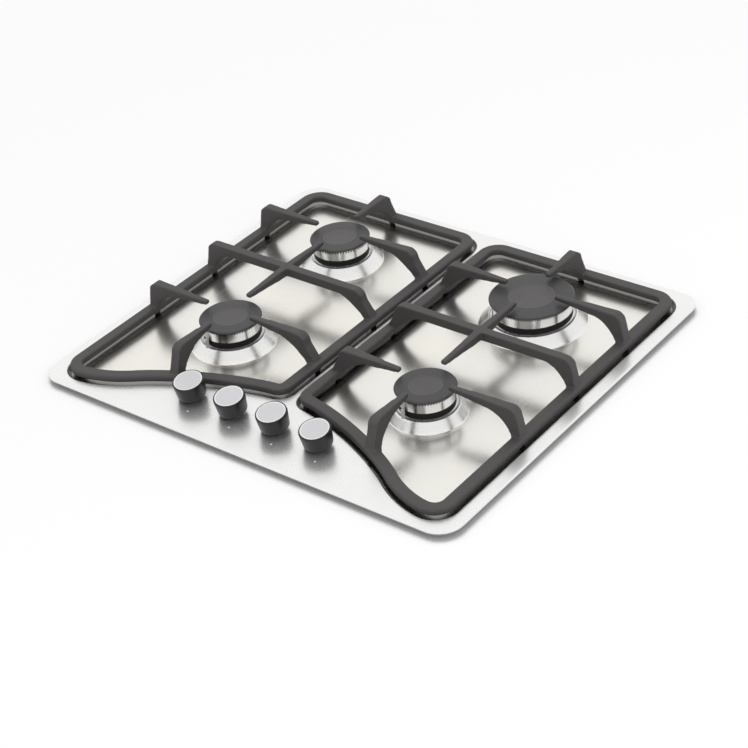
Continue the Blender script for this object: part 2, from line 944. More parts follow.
@dataclass(frozen=True)
class GalvanisedFinish(Finish):
    """Zinc-coated sheet with its crystal spangle."""

    warp: float = 4 * MM

    def material(self, effects: Effects) -> bpy.types.Material:
        """Makes the material.

        Args:
            effects: the shared shader groups.

        Returns:
            The material.
        """
        shader, principled, coordinates = self.start()
        warp = shader.node("ShaderNodeVectorMath")
        warp.operation = "ADD"
        noise = shader.node("ShaderNodeTexNoise", Vector=coordinates, Scale=90.0)
        small = shader.node("ShaderNodeVectorMath")
        small.operation = "SCALE"
        shader.feed(small.inputs[0], noise.outputs["Color"])
        shader.feed(small.inputs["Scale"], self.warp)
        shader.feed(warp.inputs[0], coordinates)
        shader.feed(warp.inputs[1], small.outputs[0])
        cells = shader.node("ShaderNodeTexVoronoi", Vector=warp.outputs[0], Scale=110.0)
        tone = shader.node("ShaderNodeSeparateColor", Color=cells.outputs["Color"]).outputs[0]
        shader.feed(principled.inputs["Base Color"], shader.mix(tone, self.shade(0.86), self.shade(1.1)))
        rough = shader.spread(tone, 0, 1, self.roughness - 0.1, self.roughness + 0.1)
        shader.feed(principled.inputs["Roughness"], rough)
        grain = effects.place(shader, effects.grain, Coordinates=coordinates, Size=1.5)
        self.bump(shader, principled, grain.outputs["Height"], 0.01 * MM, 0.3)
        return bpy.data.materials[self.name]


@dataclass
class Finishes:
    """Every material of the object."""

    effects: Effects = field(default_factory=Effects)
    made: dict[str, bpy.types.Material] = field(default_factory=dict)

    def get(self, finish: Finish) -> bpy.types.Material:
        """The material of a finish, made when it is first asked for.

        Args:
            finish: the finish.

        Returns:
            Its material.
        """
        if finish.name not in self.made:
            self.made[finish.name] = finish.material(self.effects)
        return self.made[finish.name]

    def centred(self, finish: TurnedFinish | CapFinish, name: str, centre: Vector, **own: float) -> bpy.types.Material:
        """A finish that follows its own centre.

        Args:
            finish: the finish.
            name: what the centre belongs to.
            centre: where the axis is.
            own: any other value of this place alone.

        Returns:
            Its material.
        """
        return self.get(replace(finish, name=f"{finish.name}_{name}", centre=tuple(centre), **own))


PLATE_STEEL = PlateSteel("plate_steel", (0.92, 0.92, 0.91), 0.28, 1.0)
EDGE_STEEL = PlateSteel("edge_steel", (0.28, 0.28, 0.275), 0.4, 1.0, well_color=(0.28, 0.275, 0.26))
IRON = GrainFinish(
    "cast_iron", (0.090, 0.083, 0.086), 0.6, size=1.0, depth=0.04 * MM, strength=0.35, mottle=0.07, edge=0.2, shine=0.3
)
ENAMEL = GrainFinish("enamel", (0.052, 0.049, 0.050), 0.42, size=0.8, depth=0.02 * MM, strength=0.3, mottle=0.05)
CAP_ENAMEL = CapFinish("cap_enamel", (0.044, 0.042, 0.043), 0.42, size=0.8, depth=0.02 * MM, strength=0.3, mottle=0.05)
DARK_METAL = GrainFinish("dark_metal", (0.012, 0.011, 0.010), 0.6, mottle=0.3, shine=0.3)
BURNER_SILVER = TurnedFinish("burner_silver", (0.86, 0.86, 0.87), 0.16, 1.0, strength=0.1, streaks=0.8)
CAST_ALUMINIUM = GrainFinish("cast_aluminium", (0.66, 0.66, 0.655), 0.42, metallic=1.0, size=1.2, mottle=0.06)
KNOB_PLASTIC = GrainFinish(
    "knob_plastic", (0.010, 0.010, 0.013), 0.32, size=0.5, depth=0.01 * MM, strength=0.3, mottle=0.1, shine=0.45
)
DISC_SILVER = TurnedFinish("disc_silver", (0.66, 0.66, 0.68), 0.36, 0.85, strength=0.1, fade=0.02)
DISC_RIM = TurnedFinish("disc_rim", (0.9, 0.9, 0.9), 0.12, 1.0, strength=0.05, fade=0.02)
GALVANISED = GalvanisedFinish("galvanised_sheet", (0.60, 0.62, 0.63), 0.42, 1.0)
BRASS = TurnedFinish("brass", (0.70, 0.52, 0.24), 0.3, 1.0)
CERAMIC = GrainFinish("ceramic", (0.84, 0.82, 0.76), 0.25, size=0.5, depth=0.01 * MM, mottle=0.03, coat=0.5)
FOAM = GrainFinish("foam_rubber", (0.022, 0.022, 0.022), 0.9, size=0.8, depth=0.2 * MM, mottle=0.3)
PAD_RUBBER = GrainFinish("pad_rubber", (0.03, 0.03, 0.03), 0.75, size=0.6, mottle=0.2)
ZINC = TurnedFinish("zinc_plate", (0.72, 0.72, 0.70), 0.32, 1.0)
PRINT_WHITE = GrainFinish("print_white", (0.9, 0.9, 0.9), 0.5, size=0.3, depth=0.005 * MM, mottle=0.02)


# ---------------------------------------------------------------------------- the sheet-metal top


@dataclass
class TopPlate:
    """The pressed steel plate: border, two wells and a cone under each burner."""

    burners: list[BurnerPlace]
    knobs: list[KnobPlace]
    corner_radius: float = 28 * MM
    rim_round: float = 1.2 * MM
    lip_bottom: float = 46.3 * MM
    bar_width: float = 14 * MM
    well_margin: float = 4.5 * MM
    well_run: float = 3.5 * MM
    cone_lip: float = 2.5 * MM
    spindle_hole: float = 4.5 * MM
    circle_steps: int = 112

    def rim(self, bm: bmesh.types.BMesh) -> list[bmesh.types.BMEdge]:
        """Makes the rounded edge and the turned-down lip.

        Args:
            bm: the plate's mesh.

        Returns:
            The loop where the flat border starts.
        """
        low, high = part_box("top_plate")
        outline = Outline.rounded_rectangle(high[0] - low[0], high[1] - low[1], self.corner_radius)
        top, r = LEVELS.border, self.rim_round
        rings = [(-2.5 * r, top), (-r, top)]
        rings += [(-r + r * math.sin(a), top - r + r * math.cos(a)) for a in (math.radians(d) for d in (22, 45, 68))]
        rings += [(0, top - r), (0, self.lip_bottom)]
        edges = loft(bm, [(outline.offset(distance).points, z) for distance, z in rings])[0]
        for face in bm.faces:
            face.material_index = int(face.calc_center_median().z < top - r)
        return edges

    def well(self, bm: bmesh.types.BMesh, side: Side) -> list[bmesh.types.BMEdge]:
        """Makes one sunken well with its cones.

        Args:
            bm: the plate's mesh.
            side: which well.

        Returns:
            The loop where the flat border starts.
        """
        line = SupportLine().outline(side)
        top = self.bar_width / 2 + self.well_margin
        depth = LEVELS.border - LEVELS.well_floor
        profile = rounded(
            [(top + 2.2 * MM, 0), (top, 0), (top - self.well_run, -depth), (1 * MM - self.bar_width / 2, -depth)],
            [0, 0.5 * MM, 1.2 * MM, 0],
            4,
        )
        flat = set(bm.faces)
        top_edge, floor_edge = loft(bm, [(line.offset(distance).points, LEVELS.border + z) for distance, z in profile])
        for face in set(bm.faces) - flat:
            face.material_index = int(face.calc_center_median().z < LEVELS.border - 0.005 * MM)
        cones = [self.cone(bm, burner) for burner in self.burners if burner.centre.x * side.value > 0]
        fill(bm, floor_edge, *cones)
        return top_edge

    def cone(self, bm: bmesh.types.BMesh, burner: BurnerPlace) -> list[bmesh.types.BMEdge]:
        """Makes the cone and pressed ring under one burner.

        Args:
            bm: the plate's mesh.
            burner: the burner.

        Returns:
            The loop at the cone's base.
        """
        lip = burner.cap_radius + self.cone_lip
        base = lip + burner.cone_run
        rise = LEVELS.pressed_ring - LEVELS.well_floor
        profile = rounded(
            [
                (base + 1.5 * MM, 0),
                (base, 0),
                (lip + 0.6 * MM, rise - 1.2 * MM),
                (lip - 0.6 * MM, rise),
                (lip - 1.8 * MM, rise),
                (lip - 2.4 * MM, rise - 0.8 * MM),
                (burner.hole_radius + 1 * MM, rise - 0.8 * MM),
                (burner.hole_radius, rise - 0.4 * MM),
            ],
            [0, 0.7 * MM, 0.6 * MM, 0.5 * MM, 0.25 * MM, 0.25 * MM, 0.3 * MM, 0],
            3,
        )
        steps = self.circle_steps
        return loft(bm, [(burner.ring_points(radius, steps), LEVELS.well_floor + z) for radius, z in profile])[0]

    def build(self, finishes: Finishes) -> None:
        """Makes and dresses the plate.

        Args:
            finishes: the materials.
        """
        bm = bmesh.new()
        edges = [self.rim(bm), self.well(bm, Side.LEFT), self.well(bm, Side.RIGHT)]
        holes = [circle_points(knob.base, self.spindle_hole, 32) for knob in self.knobs]
        edges += [loop(bm, points, LEVELS.border) for points in holes]
        fill(bm, *edges)
        bmesh.ops.recalc_face_normals(bm, faces=bm.faces)
        flat = max(bm.faces, key=lambda face: face.calc_area())
        if flat.normal.z < 0:
            bmesh.ops.reverse_faces(bm, faces=bm.faces)
        materials = [finishes.get(PLATE_STEEL), finishes.get(EDGE_STEEL)]
        plate = Piece("plate_sheet", bm, materials, Slot.STEEL, replaces=["top_plate"]).build()
        solid = plate.modifiers.new("thickness", "SOLIDIFY")
        solid.thickness = 0.9 * LEVELS.sheet
        solid.offset = -1
        solid.use_even_offset = True


@dataclass
class PrintedMarks:
    """Small plain dots printed on the plate in front of the knobs."""

    knobs: list[KnobPlace]
    offset: Vector = field(default_factory=lambda: Vector((14.0 * MM, -24.5 * MM, 0)))
    radius: float = 1.3 * MM
    thickness: float = 0.06 * MM

    def build(self, finishes: Finishes) -> None:
        """Makes and dresses the dots.

        Args:
            finishes: the materials.
        """
        bm = bmesh.new()
        for knob in self.knobs:
            place = Matrix.Translation(knob.base + self.offset + Vector((0, 0, self.thickness / 2)))
            bmesh.ops.create_cone(
                bm, cap_ends=True, segments=24, radius1=self.radius, radius2=self.radius, depth=self.thickness, matrix=place
            )
        Piece("printed_dots", bm, [finishes.get(PRINT_WHITE)], Slot.STEEL).build()


# ---------------------------------------------------------------------------- pan supports


@dataclass
class PanSupport:
    """One cast-iron pan support: a closed bar, legs with fingers and a middle cross."""

    burners: list[BurnerPlace]
    line: SupportLine = field(default_factory=SupportLine)
    bar_width: float = 14 * MM
    bar_bottom: float = 50 * MM
    bar_top: float = 58 * MM
    bar_round: float = 1.3 * MM
    finger_drop: float = 1.5 * MM
    tip_radius: float = 33 * MM
    tip_depth: float = 5 * MM
    root_depth: float = 13 * MM
    tip_thickness: float = 6 * MM
    root_thickness: float = 12.5 * MM
    arm_thickness: float = 10.5 * MM
    spike_thickness: float = 9.5 * MM
    leg_width: float = 12.5 * MM
    leg_foot: float = 8 * MM
    foot_flare: float = 3 * MM
    outer_inset: float = 5 * MM
    inner_inset: float = 13.5 * MM
    end_inset: float = 9 * MM
    cross_y: float = 24 * MM
    voxel: float = 1.0 * MM
    smoothing: int = 2
    pad_radius: float = 3.8 * MM

    def bar(self, bm: bmesh.types.BMesh) -> None:
        """Adds the closed bar."""
        outline = self.line.outline(Side.RIGHT)
        half, low, high, r = self.bar_width / 2, self.bar_bottom, self.bar_top, self.bar_round
        section = [(half, low + 1 * MM), (half, high - r), (half - r, high), (r - half, high), (-half, high - r)]
        section += [(-half, low + 1 * MM), (1 * MM - half, low), (half - 1 * MM, low)]
        loft(bm, [(outline.offset(distance).points, z) for distance, z in [*section, section[0]]])
        bmesh.ops.remove_doubles(bm, verts=bm.verts, dist=0.01 * MM)

    def blade(self, corners: Sequence[tuple[float, float, float]], width: Callable[[float, float], float]) -> bmesh.types.BMesh:
        """Makes a standing blade.

        Args:
            corners: x and z of each corner of its outline, and where its round starts.
            width: the blade's thickness at an x and z.

        Returns:
            The blade, along +x from the origin.
        """
        bm = bmesh.new()
        verts = [bm.verts.new((x, -0.5, z)) for x, z, _ in corners]
        bm.faces.new(verts)
        for vert, (_, _, reach) in zip(verts, corners):
            if reach:
                bmesh.ops.bevel(
                    bm, geom=[vert], offset=reach, affect="VERTICES", segments=6, profile=0.5, material=-1
                )
        grown = bmesh.ops.extrude_face_region(bm, geom=bm.faces[:])
        far = [item for item in grown["geom"] if isinstance(item, bmesh.types.BMVert)]
        bmesh.ops.translate(bm, verts=far, vec=(0, 1, 0))
        for vert in bm.verts:
            vert.co.y *= width(vert.co.x, vert.co.z)
        bmesh.ops.recalc_face_normals(bm, faces=bm.faces)
        return bm

    def leg_corners(self, reach: float, inset: float, end: Sequence[tuple[float, float, float]]) -> list[tuple[float, float, float]]:
        """Outline of a leg with its finger.

        Args:
            reach: from the burner's axis to the bar's centre line.
            inset: from the bar's centre line to the leg's shoulder.
            end: the corners of the finger's inner end.

        Returns:
            The corners.
        """
        shoulder, top = reach - inset, LEVELS.finger_top
        under = top - self.root_depth
        inner = shoulder - self.leg_width
        base, bar, knee = self.bar_bottom + 1 * MM, self.bar_top - 1 * MM, self.bar_top + 5 * MM
        foot = reach + self.bar_width / 2 - 2.5 * MM
        inside = reach - self.leg_foot
        climb = (knee - bar) / (under - bar)
        return [
            (foot, base, 0),
            (foot - 0.5 * MM, bar, 0),
            (foot - 0.5 * MM + climb * (shoulder + 5 * MM - foot + 0.5 * MM), knee, 0),
            (shoulder + 5 * MM, under, 3 * MM),
            (shoulder + 3 * MM, top - 5 * MM, 2 * MM),
            (shoulder - 3 * MM, top, 3 * MM),
            *end,
            (inner - 16 * MM, under + 2 * MM, 3 * MM),
            (inner - 3 * MM, under - 4 * MM, 6 * MM),
            (inside - 0.35 * (inside - inner + 3 * MM), knee, 0),
            (inside, bar, 0),
            (inside, base, 0),
        ]

    def flare(self, z: float) -> float:
        """Extra thickness of a leg near the bar."""
        return self.foot_flare if z < self.bar_top + 2 * MM else 0

    def finger(self, reach: float, inset: float) -> bmesh.types.BMesh:
        """Makes a finger with its leg.

        Args:
            reach: from the burner's axis to the bar's centre line.
            inset: from the bar's centre line to the leg's shoulder.

        Returns:
            The finger, along +x from the burner's axis.
        """
        tip_top = LEVELS.finger_top - self.finger_drop
        tip = self.tip_radius
        end = [(tip, tip_top, 1.6 * MM), (tip, tip_top - self.tip_depth, 1.6 * MM)]
        span = reach - inset - tip

        def width(x: float, z: float) -> float:
            """Thickness of the finger at a point."""
            share = min(max((x - tip) / span, 0), 1)
            return self.tip_thickness + (self.root_thickness - self.tip_thickness) * share + self.flare(z)

        return self.blade(self.leg_corners(reach, inset, end), width)

    def arm(self, reach: float, inset: float) -> bmesh.types.BMesh:
        """Makes half of the middle bar.

        Args:
            reach: from the cross to the bar's centre line.
            inset: from the bar's centre line to the leg's shoulder.

        Returns:
            The arm, along +x from the cross.
        """
        under = LEVELS.finger_top - self.root_depth + 2 * MM
        end = [(-2 * MM, LEVELS.finger_top, 0), (-2 * MM, under, 0)]
        corners = self.leg_corners(reach, inset, end)
        return self.blade(corners, lambda _, z: self.arm_thickness + self.flare(z))

    def spike(self, length: float) -> bmesh.types.BMesh:
        """Makes a spike of the cross.

        Args:
            length: from the cross to the spike's tip.

        Returns:
            The spike, along +x from the cross.
        """
        top, tip_top = LEVELS.finger_top, LEVELS.finger_top - self.finger_drop
        under = top - self.root_depth + 2 * MM
        corners = [
            (-2 * MM, under, 0),
            (-2 * MM, top, 0),
            (length, tip_top, 1.6 * MM),
            (length, tip_top - self.tip_depth, 1.6 * MM),
            (10 * MM, under, 6 * MM),
        ]
        thick, thin = self.spike_thickness, self.tip_thickness
        return self.blade(corners, lambda x, _: thick + (thin - thick) * min(max(x / length, 0), 1))

    def placed(self, parts: bmesh.types.BMesh, blade: bmesh.types.BMesh, degrees: float, x: float, y: float) -> None:
        """Turns a blade, moves it to its burner or cross and adds it to the casting.

        Args:
            parts: the casting.
            blade: the blade, which goes.
            degrees: its turn about z.
            x: where its origin goes.
            y: where its origin goes.
        """
        move(blade, Matrix.Translation((x, y, 0)) @ Matrix.Rotation(math.radians(degrees), 4, "Z"))
        mesh = bpy.data.meshes.new("blade")
        blade.to_mesh(mesh)
        blade.free()
        parts.from_mesh(mesh)
        bpy.data.meshes.remove(mesh)

    def casting(self) -> bmesh.types.BMesh:
        """Makes the right-hand casting from overlapping solids.

        Returns:
            The mesh, still in separate shells.
        """
        bm = bmesh.new()
        self.bar(bm)
        front, back = sorted((b.centre for b in self.burners if b.centre.x > 0), key=lambda c: c.y)
        x = front.x
        outer, inner = self.line.outer_x - x, x - self.line.inner_x
        for y in (front.y, back.y):
            self.placed(bm, self.finger(outer, self.outer_inset), 0, x, y)
            self.placed(bm, self.finger(inner, self.inner_inset), 180, x, y)
        self.placed(bm, self.finger(front.y - self.line.y_at(x), self.end_inset), -90, x, front.y)
        self.placed(bm, self.finger(self.line.back_y - back.y, self.end_inset), 90, x, back.y)
        self.placed(bm, self.arm(outer, self.outer_inset), 0, x, self.cross_y)
        self.placed(bm, self.arm(inner, self.inner_inset), 180, x, self.cross_y)
        self.placed(bm, self.spike(self.cross_y - front.y - self.tip_radius), -90, x, self.cross_y)
        self.placed(bm, self.spike(back.y - self.cross_y - self.tip_radius), 90, x, self.cross_y)
        bmesh.ops.recalc_face_normals(bm, faces=bm.faces)
        return bm

    def fused(self) -> bpy.types.Mesh:
        """Fuses the casting into one skin with soft inner corners.

        Returns:
            The right-hand casting's mesh.
        """
        bm = self.casting()
        mesh = bpy.data.meshes.new("casting")
        bm.to_mesh(mesh)
        bm.free()
        obj = bpy.data.objects.new("casting", mesh)
        bpy.context.scene.collection.objects.link(obj)
        skin = obj.modifiers.new("skin", "REMESH")
        skin.mode = "VOXEL"
        skin.voxel_size = self.voxel
        finished_mesh(obj)
        result = obj.data
        bpy.data.objects.remove(obj)
        return result

    def pads(self) -> bmesh.types.BMesh:
        """Makes the rubber pads under the right-hand support's bar.

        Returns:
            The pads' mesh.
        """
        front, back = sorted((b.centre for b in self.burners if b.centre.x > 0), key=lambda c: c.y)
        places = [(x, y) for y in (front.y, self.cross_y, back.y) for x in (self.line.inner_x, self.line.outer_x)]
        places += [(front.x, self.line.y_at(front.x)), (front.x, self.line.back_y)]
        low, high = LEVELS.well_floor + 0.3 * MM, self.bar_bottom + 0.5 * MM
        profile = rounded(
            [(0, low), (self.pad_radius - 1 * MM, low), (self.pad_radius, low + 2 * MM), (self.pad_radius, high), (0, high)],
            [0, 0.5 * MM, 0.8 * MM, 0, 0],
        )
        bm = bmesh.new()
        for x, y in places:
            self.placed(bm, spun(profile, 24), 0, x, y)
        return bm

    def build(self, finishes: Finishes) -> None:
        """Makes and dresses both supports.

        Args:
            finishes: the materials.
        """
        skin = self.fused()
        for side in Side:
            name = side.name.lower()
            flip = Matrix.Diagonal((side.value, 1, 1, 1))
            bm = bmesh.new()
            bm.from_mesh(skin)
            for _ in range(self.smoothing):
                bmesh.ops.smooth_vert(bm, verts=bm.verts, factor=0.5, use_axis_x=True, use_axis_y=True, use_axis_z=True)
            move(bm, flip)
            bmesh.ops.recalc_face_normals(bm, faces=bm.faces)
            node = f"pan_support_{name}"
            Piece(
                f"grate_{name}", bm, [finishes.get(IRON)], Slot.IRON, body=node, replaces=[node], sharp_angle=180
            ).build()
            pads = self.pads()
            move(pads, flip)
            bmesh.ops.recalc_face_normals(pads, faces=pads.faces)
            Piece(f"grate_pads_{name}", pads, [finishes.get(PAD_RUBBER)], Slot.RUBBER, body=node).build()


# ---------------------------------------------------------------------------- burners


@dataclass
class Burner:
    """One burner: cap, ported head, cup and spark plug."""

    place: BurnerPlace
    cap_edge: float = 2.2 * MM
    cap_spigot: float = 3.3 * MM
    dish_share: float = 0.52
    head_inset: float = 2.3 * MM
    head_ring: float = 8.7 * MM
    skirt_inset: float = 11 * MM
    skirt_depth: float = 10.5 * MM
    port_depth: float = 1.6 * MM
    port_height: float = 2.4 * MM
    port_pitch: float = 3.1 * MM
    notch_width: float = 9 * MM
    notch_lift: float = 3 * MM
    notch_back: float = 2.7 * MM

    def centred(self, bm: bmesh.types.BMesh) -> bmesh.types.BMesh:
        """Moves a mesh that stands on the z axis to the burner."""
        move(bm, Matrix.Translation((self.place.centre.x, self.place.centre.y, 0)))
        return bm

    def cap(self, finishes: Finishes) -> None:
        """Makes the enamelled cap."""
        radius = self.place.cap_radius
        under = LEVELS.head_top + 0.3 * MM
        top = under + self.cap_edge
        spigot = radius - self.head_inset - self.head_ring - 0.4 * MM
        dish = radius * self.dish_share
        profile = rounded(
            [
                (0, under),
                (spigot - 2.5 * MM, under),
                (spigot - 2.5 * MM, under - self.cap_spigot),
                (spigot, under - self.cap_spigot),
                (spigot, under),
                (radius - 0.5 * MM, under),
                (radius, under + 0.5 * MM),
                (radius, top - 1.2 * MM),
                (radius - 2 * MM, top),
                (dish + 1.8 * MM, top),
                (dish + 0.8 * MM, top + 0.1 * MM),
                (dish, top - 0.6 * MM),
                (0, top - 0.6 * MM),
            ],
            [MM * reach for reach in (0, 0.8, 0.4, 0.4, 0.8, 0.25, 0.3, 0.6, 1.0, 0.3, 0.3, 0.4, 0)],
        )
        name = f"burner_cap_{self.place.name}"
        bm = self.centred(spun(profile, 128))
        enamel = finishes.centred(CAP_ENAMEL, self.place.name, self.place.centre, dish=dish)
        Piece(f"cap_{self.place.name}", bm, [enamel], Slot.ENAMEL, body=name, replaces=[name]).build()

    def notch(self, bm: bmesh.types.BMesh, ring: float, back: float, low: float, high: float) -> None:
        """Sinks the spark plug's notch into the silver ring, about the +x axis.

        Args:
            bm: the head's mesh.
            ring: the silver ring's radius.
            back: radius of the notch's back wall.
            low: height of its floor.
            high: height of the ring's top.
        """
        half = math.asin(self.notch_width / 2 / ring)
        cut = []
        for face in bm.faces:
            centre = face.calc_center_median()
            turned = abs(math.atan2(centre.y, centre.x)) < half
            if turned and centre.z > low and math.hypot(centre.x, centre.y) > back:
                cut.append(face)
        grown = bmesh.ops.extrude_face_region(bm, geom=cut)["geom"]
        verts = [item for item in grown if isinstance(item, bmesh.types.BMVert)]
        for vert in verts:
            angle = math.atan2(vert.co.y, vert.co.x)
            radius, z = math.hypot(vert.co.x, vert.co.y), vert.co.z
            if z > high - 0.01 * MM:
                radius, z = back, low + (ring - radius) / (ring - back) * (high - low)
            else:
                radius, z = ring - (z - low) / (high - low) * (ring - back), low
            vert.co = (radius * math.cos(angle), radius * math.sin(angle), z)
        for face in {face for vert in verts for face in vert.link_faces}:
            face.material_index = 1
        bmesh.ops.remove_doubles(bm, verts=bm.verts, dist=0.002 * MM)

    def head(self, finishes: Finishes) -> None:
        """Makes the silver ring with its flame ports and its notch, and the dark neck below it."""
        place = self.place
        seat, top, neck = LEVELS.pressed_ring + 0.6 * MM, LEVELS.head_top, LEVELS.neck_top
        ring = place.cap_radius - self.head_inset
        skirt = place.hole_radius - self.skirt_inset
        mouth = ring - self.head_ring
        towards_plug = place.plug - place.centre
        back = math.hypot(towards_plug.x, towards_plug.y) - self.notch_back
        floor, port_low = neck + self.notch_lift, top - self.port_height
        profile = [
            (skirt - 2 * MM, seat - self.skirt_depth),
            (skirt, seat - self.skirt_depth),
            (skirt, seat),
            (ring - 0.4 * MM, seat),
            (ring - 0.4 * MM, neck),
            (ring, neck + 0.3 * MM),
            (ring, floor),
            (ring, port_low),
            (ring, top - 0.4 * MM),
            (ring - 0.4 * MM, top),
            (back, top),
            (mouth, top),
            (mouth, top - self.cap_spigot - 1 * MM),
            (skirt - 2 * MM, top - self.cap_spigot - 4 * MM),
        ]
        steps = 2 * round(2 * math.pi * ring / self.port_pitch)
        bm = spun(profile, steps, close=True)
        ports = []
        for face in bm.faces:
            centre = face.calc_center_median()
            face.material_index = int(centre.z < neck + 0.05 * MM)
            sector = math.floor(math.atan2(centre.y, centre.x) / (2 * math.pi) * steps)
            beside = abs(centre.y) > self.notch_width / 2 or centre.x < 0
            wall = math.hypot(centre.x, centre.y) > ring * 0.985 and port_low < centre.z < top - 0.4 * MM
            if wall and beside and sector % 2 == 0:
                ports.append(face)
        bmesh.ops.inset_individual(bm, faces=ports, thickness=0.15 * MM, depth=-self.port_depth, use_even_offset=True)
        for face in ports:
            face.material_index = 1
        self.notch(bm, ring, back, floor, top)
        move(bm, Matrix.Rotation(math.atan2(towards_plug.y, towards_plug.x), 4, "Z"))
        name = f"burner_head_{place.name}"
        materials = [finishes.centred(BURNER_SILVER, place.name, place.centre), finishes.get(DARK_METAL)]
        Piece(f"head_{place.name}", self.centred(bm), materials, Slot.ALUMINIUM, body=name, replaces=[name]).build()

    def plug(self, finishes: Finishes) -> None:
        """Makes the spark plug with its steel electrode."""
        low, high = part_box(f"spark_plug_{self.place.name}")
        bottom, top = low[2], high[2]
        profile = rounded(
            [
                (0, bottom),
                (2.2 * MM, bottom),
                (2.2 * MM, top - 4 * MM),
                (1.2 * MM, top - 3.2 * MM),
                (0.8 * MM, top - 3.1 * MM),
                (0.8 * MM, top - 0.6 * MM),
                (0.3 * MM, top),
                (0, top),
            ],
            [0, 0.4 * MM, 0.4 * MM, 0.2 * MM, 0, 0.2 * MM, 0.1 * MM, 0],
        )
        bm = spun(profile, 24)
        for face in bm.faces:
            face.material_index = int(face.calc_center_median().z > top - 3.15 * MM)
        move(bm, Matrix.Translation((self.place.plug.x, self.place.plug.y, 0)))
        name = f"spark_plug_{self.place.name}"
        materials = [finishes.get(CERAMIC), finishes.get(ZINC)]
        Piece(f"plug_{self.place.name}", bm, materials, Slot.CERAMIC, replaces=[name]).build()

    def build(self, finishes: Finishes) -> None:
        """Makes and dresses the burner.

        Args:
            finishes: the materials.
        """
        self.cap(finishes)
        self.head(finishes)
        self.plug(finishes)


# ---------------------------------------------------------------------------- knobs


@dataclass
class Knob:
    """One knob: a black body with a silver disc in its top."""

    place: KnobPlace
    bottom: float = 5 * MM
    top: float = 24.5 * MM
    bottom_radius: float = 16.5 * MM
    top_radius: float = 18 * MM
    wall: float = 2 * MM
    disc_radius: float = 16.2 * MM
    disc_thickness: float = 1.5 * MM
    hub_radius: float = 6 * MM
    bore_radius: float = 3.3 * MM

    def build(self, finishes: Finishes) -> None:
        """Makes and dresses the knob.

        Args:
            finishes: the materials.
        """
        seat, inside = self.top - self.disc_thickness, self.bottom_radius - self.wall
        recess = self.disc_radius + 0.25 * MM
        body = rounded(
            [
                (0, self.bottom + 10 * MM),
                (self.bore_radius, self.bottom + 10 * MM),
                (self.bore_radius, self.bottom + 1 * MM),
                (self.hub_radius, self.bottom + 1 * MM),
                (self.hub_radius, seat - 3 * MM),
                (inside, seat - 3 * MM),
                (inside, self.bottom),
                (self.bottom_radius, self.bottom),
                (self.top_radius, self.top - 1.5 * MM),
                (self.top_radius - 0.5 * MM, self.top - 0.2 * MM),
                (recess, self.top - 0.2 * MM),
                (recess, seat),
                (0, seat),
            ],
            [0, 0, 0.4 * MM, 0.4 * MM, 0.6 * MM, 0.6 * MM, 0.5 * MM, 0.6 * MM, 0.9 * MM, 0.5 * MM, 0.2 * MM, 0, 0],
        )
        body_name = f"knob_{self.place.name}"
        shell = spun(body)
        move(shell, self.place.matrix)
        node = f"knob_body_{self.place.name}"
        Piece(f"{body_name}_shell", shell, [finishes.get(KNOB_PLASTIC)], Slot.PLASTIC, body_name, [node]).build()
        disc = rounded(
            [
                (0, seat + 0.3 * MM),
                (self.disc_radius, seat + 0.3 * MM),
                (self.disc_radius, self.top),
                (self.disc_radius - 0.9 * MM, self.top + 0.15 * MM),
                (self.disc_radius - 1.3 * MM, self.top - 0.15 * MM),
                (0, self.top - 0.15 * MM),
            ],
            [0, 0.2 * MM, 0.25 * MM, 0.2 * MM, 0.15 * MM, 0],
        )
        disc_mesh = spun(disc)
        for part in disc_mesh.faces:
            centre = part.calc_center_median()
            part.material_index = int(math.hypot(centre.x, centre.y) > self.disc_radius - 1.35 * MM)
        move(disc_mesh, self.place.matrix)
        axis_point = self.place.matrix @ Vector((0, 0, self.top))
        materials = [finishes.centred(finish, self.place.name, axis_point) for finish in (DISC_SILVER, DISC_RIM)]
        node = f"knob_disc_{self.place.name}"
        Piece(f"{body_name}_disc", disc_mesh, materials, Slot.SILVER, body_name, [node]).build()


# ---------------------------------------------------------------------------- below the worktop


@dataclass
class FrameNodes:
    """Frame nodes whose shapes stay, and get their finish here."""

    nodes: dict[str, bpy.types.Object]
    slots: dict[str, str]

    def build(self, finishes: Finishes) -> None:
        """Gives every node its material.

        Args:
            finishes: the materials.
        """
        by_slot = {
            Slot.STEEL: PLATE_STEEL,
            Slot.GALVANISED: GALVANISED,
            Slot.IRON: IRON,
            Slot.ENAMEL: ENAMEL,
            Slot.ALUMINIUM: CAST_ALUMINIUM,
            Slot.BRASS: BRASS,
            Slot.PLASTIC: KNOB_PLASTIC,
            Slot.SILVER: DISC_SILVER,
            Slot.CERAMIC: CERAMIC,
            Slot.RUBBER: FOAM,
        }
        for name, obj in self.nodes.items():
            material = finishes.get(by_slot[Slot(self.slots[name])])
            if not obj.data.materials:
                obj.data.materials.append(material)
            for index in range(len(obj.material_slots)):
                obj.material_slots[index].material = material


# ---------------------------------------------------------------------------- studio


